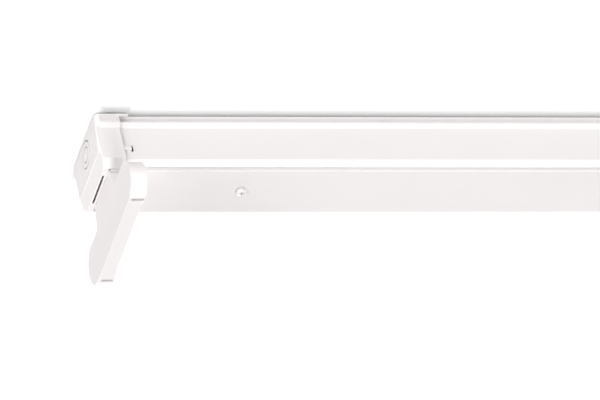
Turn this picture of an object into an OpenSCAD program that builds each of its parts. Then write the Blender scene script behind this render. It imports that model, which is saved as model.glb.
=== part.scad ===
// Twin-lamp batten light, hung by its ceiling face.
// x runs along the batten, y across it, and z is up with zero at the ceiling.

/* [Lamps] */
// Distance between the facing surfaces of the two lampholders
lamp_gap = 1200.4; // [1180:0.1:1500]
// Distance between the two lamp axes
lamp_pitch = 105; // [100:0.5:112]
// Depth of the lamp axes below the gear tray
lamp_drop = 32.4; // [31:0.1:38]
// Width of the slots that the lamp pins slide in
pin_slot_w = 3; // [2.8:0.1:3.6]

/* [Spine] */
// Thickness of the spine's steel
sheet_t = 0.8; // [0.6:0.05:1]
// Width of the spine over its plain walls
spine_w = 65; // [64:0.5:72]
// Depth from the ceiling to the underside of the gear tray
body_depth = 50.5; // [48:0.5:58]
// How far the flange at the ceiling stands out past the plain walls
flange_out = 1.6; // [0.8:0.1:2]
// Height of the groove's lower edge below the ceiling
groove_depth = 7; // [6:0.1:8]
// How far the groove lies behind the plain walls
groove_in = 1.1; // [0.6:0.1:1.4]
// How far the rolled bead stands out past the plain walls
bead_out = 3; // [2.4:0.1:3.4]
// Legs of the 45 degree lower edges
lower_edge = 5; // [4:0.1:5.6]
// Height of the lips that turn up inside the mouth
lip_h = 6; // [4:0.1:9]

/* [Gear tray] */
// Thickness of the tray's steel
tray_t = 0.7; // [0.6:0.05:0.9]
// How far the tray stands below the spine's lower edges
tray_proud = 2.4; // [1.8:0.1:2.8]
// Gap between each side of the tray and the spine's lips
tray_gap = 0.7; // [0.5:0.05:0.9]
// Height of the tray's turned-up sides
tray_side_h = 15; // [12:0.5:16]
// Outer diameter of the dimple round each cover screw
dimple_d = 13; // [12.4:0.1:15]
// Inner diameter of the dimple
dimple_floor_d = 9.6; // [9.2:0.1:11]
// Depth of the dimple
dimple_depth = 1.8; // [1.4:0.1:2.2]
// Distance from a lampholder's outer face to the nearer cover screw
screw_from_end = 116.6; // [100:0.1:140]

/* [Cover screws] */
// Diameter of the screw head
screw_head_d = 8.2; // [7.8:0.1:9]
// Height of the screw head
screw_head_h = 4; // [3:0.1:4.6]
// Diameter of the screw shank
screw_d = 4; // [3.6:0.1:4.6]
// Length of the shank above the tray
screw_reach = 9; // [8:0.5:12]
// Length of the cross recess in the head
recess_l = 4.2; // [3.6:0.1:5]
// Width of the cross recess in the head
recess_w = 1; // [0.8:0.1:1.4]

/* [Screw brackets] */
// Thickness of the bracket strip
bracket_t = 1.2; // [1:0.1:1.5]
// Width of the bracket strip along the batten
bracket_l = 20; // [18:0.5:26]
// Width of the lane for wires between the bracket's legs and the tray's sides
wire_lane = 7.8; // [7.2:0.1:10]
// Length of each foot under the ceiling plate
bracket_foot = 9; // [7:0.5:10]
// Outer diameter of the drawn collar that takes the screw
collar_d = 7; // [6.4:0.1:8]
// Height of the drawn collar
collar_h = 5; // [4:0.5:6]

/* [End caps] */
// Wall thickness of the end cap
cap_wall = 1.3; // [1.1:0.05:1.5]
// Thickness of the cap's end wall at its bottom edge
cap_end_wall = 1.6; // [1.4:0.1:2.2]
// How far the cap's wall reaches inward past the lampholder's outer face
cap_reach = 14; // [13.8:0.1:16]
// How far the end face stands outward at the ceiling
cap_top_out = 6; // [5.6:0.1:7]
// How far the end face stands outward at its ridge
cap_ridge_out = 7.8; // [7.4:0.1:9]
// How far the end face stands outward at the bottom
cap_bottom_out = 5.8; // [5.6:0.1:6.4]
// Height of the ridge above the underside of the gear tray
cap_ridge_h = 16.8; // [14:0.1:20]
// Height of the cap's underside above the underside of the gear tray
cap_rise = 1.95; // [1.6:0.05:2.4]
// Legs of the cap's 45 degree lower edges
cap_lower_edge = 6.15; // [5.6:0.05:6.6]
// Radius of the upright corners of the cap's rim
cap_rim_r = 4; // [3:0.1:5]
// Outer diameter of the knock-out ring in the end face
knockout_d = 23.6; // [20:0.1:24]
// Inner diameter of the smaller knock-out ring
knockout_inner_d = 13.6; // [12:0.1:16]
// Depth of the knock-out grooves
knockout_groove = 0.6; // [0.4:0.05:0.8]
// Length of the slot in the cap's underside
cap_slot_l = 36; // [30:0.5:40]
// Width of the slot in the cap's underside
cap_slot_w = 1.8; // [1.4:0.1:2.2]
// Length of the snap tongue beyond the cap's wall
tongue_l = 6; // [5:0.1:8]
// Height of the snap tongue
tongue_h = 3.5; // [3:0.1:4]
// Thickness of the snap tongue
tongue_t = 1; // [0.8:0.05:1.2]
// Depth of the snap tongue's middle below the ceiling
tongue_depth = 32.1; // [30:0.1:34]
// Length of the lip along the ceiling
cap_lip_l = 8.2; // [6:0.1:10]
// Thickness of the lip along the ceiling
cap_lip_t = 1.1; // [0.8:0.1:1.3]

/* [Lampholders] */
// Thickness of the lampholder's outer shell
shell_l = 10; // [9.8:0.1:11]
// Thickness of the lampholder's inner cover plate
cover_l = 2.2; // [2:0.1:2.6]
// How far the lobes' faces stand out from the cover plate
lobe_face = 1.3; // [1:0.1:1.6]
// Wall thickness of the lampholder
holder_wall = 1.8; // [1.5:0.1:2.1]
// Radius of the round lobes
lobe_r = 17; // [16.4:0.1:18]
// Width of the stem at the gear tray
stem_top_w = 49; // [46:0.5:50]
// Width of the stem where its fillets start
stem_low_w = 54.6; // [52:0.1:56]
// Radius of the fillets between stem and wings
stem_fillet = 7; // [6:0.1:8]
// Width of the neck through the gear tray
neck_w = 36; // [34:0.5:38]
// Height of the head above the gear tray
head_h = 9.6; // [9:0.1:11]
// Radius of the rotor drum
rotor_r = 11.3; // [10.8:0.1:11.5]
// Gap round the rotor drum
rotor_gap = 0.3; // [0.25:0.05:0.4]
// Radius of the rotor's rear spigot
spigot_r = 4; // [3.5:0.1:4.5]
// Thickness of the contact springs
contact_t = 0.5; // [0.4:0.05:0.6]

/* [Ballast] */
// Length of the ballast base over its lugs
ballast_l = 280; // [240:1:320]
// Width of the ballast
ballast_w = 30; // [26:0.5:32]
// Height of the ballast
ballast_h = 28; // [24:0.5:30]
// Thickness of the ballast's sheet base
ballast_base_t = 1; // [0.8:0.1:1.2]
// Length of each mounting lug
lug_l = 10; // [9:0.5:12]
// Thickness of the ballast's folded cover
ballast_cover_t = 0.5; // [0.4:0.05:0.7]
// Length of each connector block
connector_l = 16; // [14:0.5:20]
// Thickness of the ballast's circuit board
board_t = 1.6; // [1:0.1:2]

/* [Mains parts] */
// Distance from the middle of the batten to the cable entries
entry_x = 380; // [340:1:400]
// Bore of the cable grommet
grommet_bore = 13; // [11:0.5:14]
// Diameter of the cable entries in the spine
entry_d = 20; // [19:0.5:21]
// Distance between the two ceiling fixing slots
fixing_pitch = 900; // [860:1:920]
// Width of the ceiling fixing slots
fixing_w = 5.5; // [4.5:0.1:6.5]
// Length of the ceiling fixing slots
fixing_l = 14; // [10:0.5:18]
// Length of the mains terminal block
terminal_l = 30; // [26:1:36]
// Width of the mains terminal block
terminal_w = 24; // [22:0.5:26]
// Height of the mains terminal block
terminal_h = 19; // [18:0.5:22]
// Diameter of the internal wires over their sheath
wire_d = 1.8; // [1.6:0.1:2]

/* [Hidden] */
$fn = 64;
// How far every cut runs past the surface it opens
overrun = 0.5;
// Air gap between a cap and the steel inside it
cap_gap = 0.15;
// Air gap between parts that slide past each other
slide_gap = 0.3;
// Radial gap of a part that turns or screws in a hole
turn_gap = 0.06;

// Places along the batten
holder_l = shell_l + cover_l + lobe_face;
holder_x = lamp_gap / 2 + holder_l;
screw_x = holder_x - screw_from_end;
// Half widths across the batten
wall_y = spine_w / 2;
flange_y = wall_y + flange_out;
groove_y = wall_y - groove_in;
bead_y = wall_y + bead_out;
mouth_y = wall_y - lower_edge;
tray_y = mouth_y - tray_gap;
// Heights, all below the ceiling and so negative
tray_z = -body_depth;
spine_low_z = tray_z + tray_proud;
wall_low_z = spine_low_z + lower_edge;
fold_land = 1.75 * sheet_t;
bead_low_z = -groove_depth - fold_land - bead_out;
// Outer radius of every fold in the spine
fold_r = 0.5 * sheet_t;
// Reach of the spine into each end cap, past the lampholder's outer face
spine_end_x = -cap_bottom_out + cap_end_wall + slide_gap;
// Start of the spine's full section, just past the cap's wall
spine_mouth_x = cap_reach + slide_gap;

// Outer faces of the cap, each clear of the steel inside it
cap_skin = cap_gap + cap_wall;
cap_rim_y = bead_y + cap_skin;
cap_wall_y = wall_y + cap_skin;
cap_low_z = tray_z + cap_rise;
cap_step_z = bead_low_z - cap_skin * (sqrt(2) - 1);
cap_rim_z = cap_step_z + cap_rim_y - cap_wall_y;
cap_edge_z = cap_low_z + cap_lower_edge;
cap_flat_y = cap_wall_y - cap_lower_edge;
cap_ridge_z = tray_z + cap_ridge_h;

// Lampholder heights below the ceiling
lobe_z = tray_z - lamp_drop;
wing_top_z = lobe_z + lobe_r;
wing_low_z = lobe_z - lobe_r;
lobe_y = lamp_pitch / 2;

// Left normal of a step from point a to point b, as a unit vector
function step_normal(a, b) = let (d = b - a, n = norm(d)) [-d[1] / n, d[0] / n];

// Corner i of an open path, moved to the right of the path by distance t
function shifted_corner(path, i, t) =
    let (
        last = len(path) - 1,
        before = step_normal(path[max(i - 1, 0)], path[max(i, 1)]),
        after = step_normal(path[min(i, last - 1)], path[min(i + 1, last)]),
        middle = before + after
    )
    path[i] - middle * (2 * t / (middle * middle));

// An open path moved to its right by distance t
function shifted(path, t) = [for (i = [0:len(path) - 1]) shifted_corner(path, i, t)];

// Arc points that round the corner at b between a and c, kept within their shorter leg
function corner_arc(a, b, c, r, steps) =
    let (
        u = (a - b) / norm(a - b),
        v = (c - b) / norm(c - b),
        half = acos(u * v) / 2,
        used = min(r, 0.45 * min(norm(a - b), norm(c - b)) * tan(half)),
        centre = b + (u + v) / norm(u + v) * used / sin(half),
        from = b + u * used / tan(half) - centre,
        to = b + v * used / tan(half) - centre
    )
    [for (k = [0:steps])
        let (mix = from * (steps - k) + to * k)
        centre + mix * used / norm(mix)];

// An open path with its right turns and its left turns rounded, each with a radius of its own
function rounded_path(path, right_r, left_r, steps = 3) =
    [for (i = [0:len(path) - 1])
        let (
            inner = i > 0 && i < len(path) - 1,
            turn = inner ? cross(path[i] - path[i - 1], path[i + 1] - path[i]) : 0,
            r = turn < 0 ? right_r : turn > 0 ? left_r : 0
        )
        each (r > 0 ? corner_arc(path[i - 1], path[i], path[i + 1], r, steps) : [path[i]])];

// A half outline with its mirror image before it, as one open path
function both_sides(half) =
    concat([for (i = [len(half) - 1:-1:0]) [-half[i][0], half[i][1]]], half);

// A strip of thickness t to the right of an open path, with folds of outer radius r
function folded_strip(skin, t, r) =
    let (
        tight = max(r - abs(t), 0),
        outer = rounded_path(skin, t > 0 ? r : tight, t > 0 ? tight : r),
        inner = rounded_path(shifted(skin, t), t > 0 ? tight : r, t > 0 ? r : tight)
    )
    concat(outer, [for (i = [len(inner) - 1:-1:0]) inner[i]]);

// Extrudes a y-z outline along the batten, from x to x + l
module along(x, l) {
    translate([x, 0, 0]) rotate([90, 0, 90]) linear_extrude(l) children();
}

// Puts a left end part at the left end, or its mirror image at the right end
module at_end(right = false) {
    mirror([right ? 1 : 0, 0, 0]) translate([-holder_x, 0, 0]) children();
}

// A block given by its lowest corner and its highest corner
module block(low, high) {
    translate(low) cube(high - low);
}

// A slot with round ends, cut down through a plate at height z
module round_slot(l, w, z, t) {
    for (side = [-1, 1])
        translate([side * (l - w) / 2, 0, z - t - overrun]) cylinder(d = w, h = t + 2 * overrun);
    block([-(l - w) / 2, -w / 2, z - t - overrun], [(l - w) / 2, w / 2, z + overrun]);
}

spine_half = [
    [flange_y, 0],
    [groove_y, -flange_out - groove_in],
    [groove_y, -groove_depth],
    [bead_y, -groove_depth],
    [bead_y, -groove_depth - fold_land],
    [wall_y, bead_low_z],
    [wall_y, wall_low_z],
    [mouth_y, spine_low_z],
    [mouth_y, spine_low_z + lip_h]
];

// Height of the tongue's toe, and of the window in the spine's wall past the tongue
toe_h = 0.6 * tongue_h;
window_h = tongue_h + 2.4 * tongue_t;
window_l = 1.6 * tongue_t;
tongue_end_x = cap_reach + tongue_l;

module spine_end_cuts() {
    // the lower edges stop short of the lampholder and the cap
    block([spine_end_x - overrun, -wall_y - overrun, spine_low_z - overrun],
        [spine_mouth_x, wall_y + overrun, cap_edge_z + cap_skin]);
    // a guide slot for each snap tongue's toe, and the window it ends in
    block([spine_end_x - overrun, -wall_y - overrun, -tongue_depth - toe_h / 2 - slide_gap],
        [tongue_end_x, wall_y + overrun, -tongue_depth + toe_h / 2 + slide_gap]);
    block([tongue_end_x - overrun, -wall_y - overrun, -tongue_depth - window_h / 2],
        [tongue_end_x + window_l, wall_y + overrun, -tongue_depth + window_h / 2]);
}

module spine() {
    color([0.96, 0.95, 0.95])
    difference() {
        along(-holder_x + spine_end_x, 2 * (holder_x - spine_end_x))
            polygon(folded_strip(both_sides(spine_half), sheet_t, fold_r));
        for (right = [false, true])
            at_end(right) spine_end_cuts();
        for (side = [-1, 1]) {
            translate([side * entry_x, 0, -sheet_t - overrun]) cylinder(d = entry_d, h = sheet_t + 2 * overrun);
            translate([side * fixing_pitch / 2, 0, 0]) round_slot(fixing_l, fixing_w, 0, sheet_t);
        }
        translate([earth_x, 0, -sheet_t - overrun]) cylinder(d = earth_hole_d, h = sheet_t + 2 * overrun);
    }
}

bracket_leg_y = tray_y - tray_t - wire_lane;
bracket_top_z = -sheet_t;
bracket_low_z = tray_z + dimple_depth + tray_t;
bracket_half = [
    [bracket_leg_y, bracket_low_z],
    [bracket_leg_y, bracket_top_z - bracket_t],
    [bracket_leg_y + bracket_foot, bracket_top_z - bracket_t]
];

// Stirrup that hangs from the ceiling plate and takes a cover screw in its drawn collar
module screw_bracket(right = false) {
    color([0.72, 0.73, 0.75])
    at_end(right)
    difference() {
        union() {
            along(screw_from_end - bracket_l / 2, bracket_l)
                polygon(folded_strip(both_sides(bracket_half), -bracket_t, 1.5 * bracket_t));
            translate([screw_from_end, 0, bracket_low_z]) cylinder(d = collar_d, h = bracket_t + collar_h);
        }
        translate([screw_from_end, 0, bracket_low_z - overrun])
            cylinder(r = screw_d / 2 + turn_gap, h = bracket_t + collar_h + 2 * overrun);
    }
}

// Rubber bush pushed up into the left cable entry, its lip level with the ceiling plate
module entry_bush(bore) {
    difference() {
        union() {
            translate([0, 0, -entry_lip_t - sheet_t]) cylinder(d = entry_d + 2 * entry_lip, h = entry_lip_t);
            translate([0, 0, -sheet_t]) cylinder(d = entry_d - turn_gap, h = sheet_t);
            translate([0, 0, -entry_lip_t - sheet_t - entry_skirt])
                cylinder(d1 = entry_d - 2 * entry_lip, d2 = entry_d, h = entry_skirt);
        }
        if (bore > 0)
            translate([0, 0, -entry_lip_t - sheet_t - entry_skirt - overrun])
                cylinder(d = bore, h = entry_skirt + entry_lip_t + sheet_t + 2 * overrun);
    }
}
entry_lip = 2.5;
entry_lip_t = 1.6;
entry_skirt = 3;

module cable_grommet() {
    color([0.16, 0.16, 0.17]) translate([-entry_x, 0, 0]) entry_bush(grommet_bore);
}

module blanking_plug() {
    color([0.9, 0.9, 0.9]) translate([entry_x, 0, 0]) entry_bush(0);
}

// Earth screw under the ceiling plate, its threaded end level with the ceiling face
earth_d = 4;
earth_hole_d = earth_d + 2 * turn_gap;
earth_head_d = 8;
earth_head_h = 2.6;
earth_washer_t = 1;
earth_x = -entry_x - 1.6 * entry_d;
module earth_screw() {
    color([0.8, 0.68, 0.34]) translate([earth_x, 0, 0]) {
        translate([0, 0, -sheet_t]) cylinder(d = earth_d, h = sheet_t);
        translate([0, 0, -sheet_t - earth_washer_t]) cylinder(d = earth_head_d + 1.5 * earth_washer_t, h = earth_washer_t);
        translate([0, 0, -sheet_t - earth_washer_t - earth_head_h]) cylinder(d = earth_head_d, h = earth_head_h, $fn = 6);
    }
}

tray_half = [[tray_y, tray_z], [tray_y, tray_z + tray_side_h]];
// Thickness of the lampholder's apron in front of the tray's end, and the end's place behind it
apron_t = 1;
neck_gap = 0.1;
tray_end = apron_t + neck_gap;
neck_end = shell_l - 1.5 * apron_t;
shank_hole_gap = 0.25;
stud_d = 4;
stud_x = ballast_l / 2 - lug_l / 2;

module gear_tray() {
    color([0.96, 0.95, 0.95])
    difference() {
        union() {
            along(-holder_x + tray_end, 2 * (holder_x - tray_end))
                polygon(folded_strip(both_sides(tray_half), -tray_t, 0.6 * tray_t));
            for (side = [-1, 1]) {
                translate([side * screw_x, 0, tray_z])
                    cylinder(d1 = dimple_d + 2 * tray_t, d2 = dimple_floor_d + tray_t, h = dimple_depth + tray_t);
                translate([side * stud_x, 0, tray_z + tray_t / 2]) cylinder(d = stud_d, h = ballast_base_t + stud_d);
            }
        }
        for (side = [-1, 1])
            translate([side * screw_x, 0, tray_z]) {
                translate([0, 0, -overrun])
                    cylinder(r1 = dimple_d / 2 + overrun * (dimple_d - dimple_floor_d) / (2 * dimple_depth),
                        r2 = dimple_floor_d / 2, h = dimple_depth + overrun);
                cylinder(r = screw_d / 2 + shank_hole_gap, h = dimple_depth + tray_t + overrun);
            }
        // a cut from each end takes the neck of the lampholder
        for (right = [false, true])
            at_end(right)
                block([tray_end - overrun, -neck_w / 2, tray_z - overrun],
                    [neck_end, neck_w / 2, tray_z + tray_t + overrun]);
    }
}

// Outline of the lampholder below the tray, drawn smaller all round by inset
module holder_outline(inset = 0) {
    fillet_y = stem_low_w / 2 + stem_fillet;
    fillet_z = wing_top_z + stem_fillet;
    polygon([
        [-stem_top_w / 2 + inset, tray_z - inset],
        [stem_top_w / 2 - inset, tray_z - inset],
        [stem_low_w / 2 - inset, fillet_z],
        [-stem_low_w / 2 + inset, fillet_z]
    ]);
    difference() {
        translate([-fillet_y, wing_top_z - inset - stem_fillet])
            square([2 * fillet_y, 2 * stem_fillet + inset]);
        for (side = [-1, 1])
            translate([side * fillet_y, fillet_z]) circle(r = stem_fillet + inset);
    }
    translate([-lobe_y, wing_low_z + inset]) square([2 * lobe_y, 2 * (lobe_r - inset)]);
    for (side = [-1, 1])
        translate([side * lobe_y, lobe_z]) circle(r = lobe_r - inset);
}

// Something turned about a lamp axis, side -1 near and 1 far
module on_lamp_axis(side, x) {
    translate([x, side * lobe_y, lobe_z]) rotate([0, 90, 0]) children();
}

boss_r = spigot_r + 1.9;
rib_t = 0.7 * holder_wall;
boss_l = 2.8;
rotor_back_x = holder_wall + boss_l + 0.4 * boss_l;
rotor_face_x = holder_l - slide_gap;
slot_floor_x = rotor_back_x + 0.5 * boss_l;
head_w = 2 * (tray_y - tray_t - 1.2);

module lampholder_shell(right = false) {
    color([0.95, 0.94, 0.94])
    at_end(right)
    difference() {
        union() {
            difference() {
                along(0, shell_l) holder_outline();
                along(holder_wall, shell_l) holder_outline(holder_wall);
            }
            for (side = [-1, 1])
                on_lamp_axis(side, holder_wall - overrun) cylinder(r = boss_r, h = boss_l + overrun);
            // neck through the tray, apron in front of it, and the head that holds it there
            block([0, -neck_w / 2 + neck_gap, tray_z - holder_wall],
                [neck_end - neck_gap, neck_w / 2 - neck_gap, tray_z + tray_t + overrun]);
            block([0, -stem_top_w / 2, tray_z - overrun], [apron_t, stem_top_w / 2, tray_z + tray_t + overrun]);
            block([0, -head_w / 2, tray_z + tray_t], [shell_l, head_w / 2, tray_z + tray_t + head_h]);
            // ribs along both sides of each pin slot, from the wall to the rotor
            for (side = [-1, 1])
                block([holder_wall - overrun, side * lobe_y - pin_slot_w / 2 - rib_t, wing_low_z + holder_wall / 2],
                    [shell_l, side * lobe_y + pin_slot_w / 2 + rib_t, lobe_z - rotor_r - rotor_gap]);
        }
        for (side = [-1, 1]) {
            on_lamp_axis(side, holder_wall) cylinder(r = spigot_r + turn_gap, h = boss_l + overrun);
            // slot that lets the lamp pins in from below
            block([holder_wall + apron_t, side * lobe_y - pin_slot_w / 2, wing_low_z - overrun],
                [shell_l + overrun, side * lobe_y + pin_slot_w / 2, lobe_z - rotor_r]);
        }
    }
}

module lampholder_cover(right = false) {
    color([0.95, 0.94, 0.94])
    at_end(right)
    difference() {
        union() {
            along(shell_l, cover_l) holder_outline();
            for (side = [-1, 1])
                on_lamp_axis(side, shell_l) cylinder(r = lobe_r, h = cover_l + lobe_face);
        }
        for (side = [-1, 1]) {
            on_lamp_axis(side, shell_l - overrun)
                cylinder(r = rotor_r + rotor_gap, h = cover_l + lobe_face + 2 * overrun);
            block([shell_l - overrun, side * lobe_y - pin_slot_w / 2, wing_low_z - overrun],
                [holder_l + overrun, side * lobe_y + pin_slot_w / 2, lobe_z]);
        }
    }
}

// Drum that the two lamp pins turn in, with its slot upright at rest
module rotor(side, right = false) {
    color([0.9, 0.9, 0.89])
    at_end(right)
    difference() {
        union() {
            on_lamp_axis(side, rotor_back_x) cylinder(r = rotor_r, h = rotor_face_x - rotor_back_x);
            on_lamp_axis(side, holder_wall + turn_gap) cylinder(r = spigot_r, h = rotor_back_x - holder_wall);
        }
        block([slot_floor_x, side * lobe_y - pin_slot_w / 2, lobe_z - rotor_r - overrun],
            [rotor_face_x + overrun, side * lobe_y + pin_slot_w / 2, lobe_z + rotor_r + overrun]);
    }
}

// Two leaf springs beside each rotor, standing on the shell's outer wall
contact_h = 9;
contact_y = rotor_r + 2 * rotor_gap;
module contact_springs(right = false) {
    color([0.83, 0.66, 0.36])
    at_end(right)
    for (side = [-1, 1])
        for (hand = [-1, 1])
            translate([0, side * lobe_y + hand * (contact_y + contact_t / 2), lobe_z]) {
                block([holder_wall, -contact_t / 2, -contact_h / 2], [shell_l - contact_t, contact_t / 2, contact_h / 2]);
                block([holder_wall, hand > 0 ? -contact_t / 2 : -3 * contact_t, -contact_h / 2],
                    [holder_wall + contact_t, hand > 0 ? 3 * contact_t : contact_t / 2, contact_h / 2]);
            }
}

// Captive screw with a domed head and a cross recess, driven up through the dimple
screw_seat_z = tray_z + dimple_depth;
module cover_screw(right = false) {
    color([0.93, 0.92, 0.92])
    at_end(right)
    translate([screw_from_end, 0, screw_seat_z])
    difference() {
        union() {
            cylinder(d = screw_d, h = screw_reach);
            translate([0, 0, -screw_head_h])
                intersection() {
                    cylinder(d = screw_head_d, h = screw_head_h);
                    translate([0, 0, dome_r]) sphere(r = dome_r);
                }
        }
        for (turn = [0, 90])
            rotate([0, 0, turn])
                block([-recess_l / 2, -recess_w / 2, -screw_head_h - overrun],
                    [recess_l / 2, recess_w / 2, -0.5 * screw_head_h]);
    }
}
dome_r = 1.35 * screw_head_d / 2 + screw_head_h / 2;

cap_half = [
    [cap_flat_y, cap_low_z],
    [cap_wall_y, cap_edge_z],
    [cap_wall_y, cap_step_z],
    [cap_rim_y, cap_rim_z],
    [cap_rim_y, 0]
];
knockout_z = -knockout_d / 2 - 1.2;
cap_mouth_y = tray_y + slide_gap;
cap_mouth_x = -cap_gap;
slot_x = (cap_mouth_x - cap_bottom_out) / 2;

// Closed outline of the cap's section
module cap_section() {
    polygon(both_sides(rounded_path(cap_half, cap_wall / 2, cap_wall / 2)));
}

// Plan of the cap, with round corners at the rim and cut corners below it
module cap_plan(rim) {
    if (rim) {
        for (side = [-1, 1])
            translate([-cap_top_out + cap_rim_r, side * (cap_rim_y - cap_rim_r)]) circle(r = cap_rim_r);
        translate([-cap_top_out, -cap_rim_y + cap_rim_r]) square([cap_rim_r, 2 * (cap_rim_y - cap_rim_r)]);
        translate([-cap_top_out + cap_rim_r, -cap_rim_y]) square([cap_top_out - cap_rim_r + cap_reach, 2 * cap_rim_y]);
    } else {
        cut_x = cap_top_out + 0.1 * (cap_ridge_out - cap_top_out);
        cut_y = 1.3 * (cap_ridge_out - cut_x);
        polygon([
            [-cap_ridge_out, -cap_wall_y + cut_y],
            [-cut_x, -cap_wall_y],
            [cap_reach, -cap_wall_y],
            [cap_reach, cap_wall_y],
            [-cut_x, cap_wall_y],
            [-cap_ridge_out, cap_wall_y - cut_y]
        ]);
    }
}

// Side view of the cap: leaning end face above the ridge, slanted facet below it
module cap_side_view() {
    rotate([90, 0, 0]) translate([0, 0, -cap_rim_y - overrun]) linear_extrude(2 * (cap_rim_y + overrun))
        polygon([
            [cap_reach, 0],
            [-cap_top_out, 0],
            [-cap_ridge_out, cap_ridge_z],
            [-cap_bottom_out, cap_low_z],
            [cap_reach, cap_low_z]
        ]);
}

module knockout_groove_ring(d) {
    w = 1.4 * knockout_groove;
    lean = atan((cap_ridge_out - cap_top_out) / -cap_ridge_z);
    translate([-cap_top_out, 0, 0]) rotate([0, -lean, 0])
        translate([0, 0, knockout_z]) rotate([0, -90, 0])
        translate([0, 0, -knockout_groove])
        difference() {
            cylinder(d = d, h = knockout_groove + overrun);
            translate([0, 0, -overrun]) cylinder(d = d - 2 * w, h = knockout_groove + 3 * overrun);
        }
}

module end_cap(right = false) {
    color([0.96, 0.95, 0.95])
    at_end(right) {
        difference() {
            intersection() {
                along(-cap_ridge_out, cap_ridge_out + cap_reach) cap_section();
                cap_side_view();
                union() {
                    translate([0, 0, cap_rim_z]) linear_extrude(-cap_rim_z) cap_plan(true);
                    translate([0, 0, cap_low_z]) linear_extrude(cap_rim_z - cap_low_z) cap_plan(false);
                }
            }
            // the hollow that the spine's end and the lampholder's head stand in
            along(-cap_bottom_out + cap_end_wall, cap_reach + cap_bottom_out)
                polygon(concat(
                    shifted(both_sides(cap_half), -cap_wall),
                    [[cap_rim_y - cap_wall, overrun], [-cap_rim_y + cap_wall, overrun]]));
            block([cap_mouth_x, -cap_mouth_y, cap_low_z - overrun], [cap_reach + overrun, cap_mouth_y, cap_edge_z]);
            translate([slot_x - cap_slot_w / 2, -cap_slot_l / 2, cap_low_z - overrun])
                cube([cap_slot_w, cap_slot_l, cap_wall + 2 * overrun]);
            knockout_groove_ring(knockout_d);
            knockout_groove_ring(knockout_inner_d);
        }
        for (side = [-1, 1])
            mirror([0, side < 0 ? 1 : 0, 0]) {
                // snap tongue over the spine's wall, with its toe in the guide slot
                block([cap_reach - overrun, wall_y + cap_gap, -tongue_depth - tongue_h / 2],
                    [tongue_end_x, wall_y + cap_gap + tongue_t, -tongue_depth + tongue_h / 2]);
                block([tongue_end_x - 1.2 * tongue_t, wall_y - sheet_t, -tongue_depth - toe_h / 2],
                    [tongue_end_x, wall_y + cap_gap + tongue_t / 2, -tongue_depth + toe_h / 2]);
                // thin lip along the ceiling beside the spine's flange
                block([cap_reach - overrun, flange_y + cap_gap, -cap_lip_t],
                    [cap_reach + cap_lip_l, cap_rim_y, 0]);
            }
    }
}

ballast_z = tray_z + tray_t;
case_l = ballast_l - 2 * lug_l;
connector_z = ballast_z + ballast_base_t;
module ballast_base() {
    color([0.78, 0.79, 0.8])
    difference() {
        block([-ballast_l / 2, -ballast_w / 2, ballast_z], [ballast_l / 2, ballast_w / 2, ballast_z + ballast_base_t]);
        for (side = [-1, 1])
            translate([side * stud_x, 0, ballast_z - overrun])
                cylinder(r = stud_d / 2 + shank_hole_gap, h = ballast_base_t + 2 * overrun);
    }
}

cover_half_l = case_l / 2 - connector_l;
cover_edge = 0.12 * ballast_h;
cover_half = [
    [ballast_w / 2 - cover_edge, ballast_z + ballast_h],
    [ballast_w / 2, ballast_z + ballast_h - cover_edge],
    [ballast_w / 2, connector_z]
];
module ballast_cover() {
    color([0.9, 0.9, 0.91])
    along(-cover_half_l, 2 * cover_half_l)
        polygon(folded_strip(both_sides(cover_half), ballast_cover_t, 2 * ballast_cover_t));
}

// Circuit board on four feet, with its coils and upright capacitors
board_z = connector_z + 2 * board_t;
board_half_l = 0.96 * cover_half_l;
board_half_w = ballast_w / 2 - 2 * ballast_cover_t;
coil_shares = [-0.62, 0.05, 0.4];
can_shares = [-0.3, -0.12, 0.72, 0.88];
module ballast_board() {
    coil = [0.17 * board_half_l, 0.85 * board_half_w, 0.5 * ballast_h];
    can_r = 0.42 * board_half_w;
    color([0.25, 0.5, 0.33]) {
        block([-board_half_l, -board_half_w, board_z], [board_half_l, board_half_w, board_z + board_t]);
        for (x = [-0.9, 0.9])
            for (y = [-0.8, 0.8])
                translate([x * board_half_l, y * board_half_w, connector_z])
                    cylinder(r = board_t, h = board_z - connector_z + board_t / 2);
        for (share = coil_shares)
            translate([share * board_half_l - coil[0] / 2, -coil[1], board_z + board_t / 2]) cube([coil[0], 2 * coil[1], coil[2]]);
        for (share = can_shares)
            translate([share * board_half_l, (share > 0.8 ? -0.45 : 0.45) * board_half_w, board_z + board_t / 2])
                cylinder(r = can_r, h = 0.58 * ballast_h);
    }
}

// Push-wire connector block at one end of the ballast, lamp entries below and mains entries above
lamp_poles = 4;
mains_poles = 3;
wire_pitch = 0.2 * ballast_w;
connector_h = 0.55 * ballast_h;
lamp_entry_z = connector_z + 0.28 * connector_h;
mains_entry_z = connector_z + 0.62 * connector_h;
// Place of one pole in a row of poles about the middle
function pole_y(i, poles, pitch) = (i - (poles - 1) / 2) * pitch;

module wire_entries(poles, pitch, z) {
    for (i = [0:poles - 1])
        translate([-case_l / 2 - overrun, pole_y(i, poles, pitch), z])
            rotate([0, 90, 0]) cylinder(d = 1.6 * wire_d, h = connector_l / 2 + overrun);
}

module ballast_connector(right = false) {
    wall = 0.06 * ballast_w;
    color([0.93, 0.93, 0.9])
    mirror([right ? 1 : 0, 0, 0])
    difference() {
        block([-case_l / 2, -ballast_w / 2 + wall, connector_z],
            [-case_l / 2 + connector_l, ballast_w / 2 - wall, connector_z + connector_h]);
        wire_entries(lamp_poles, wire_pitch, lamp_entry_z);
        wire_entries(mains_poles, terminal_pitch, mains_entry_z);
    }
}

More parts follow.
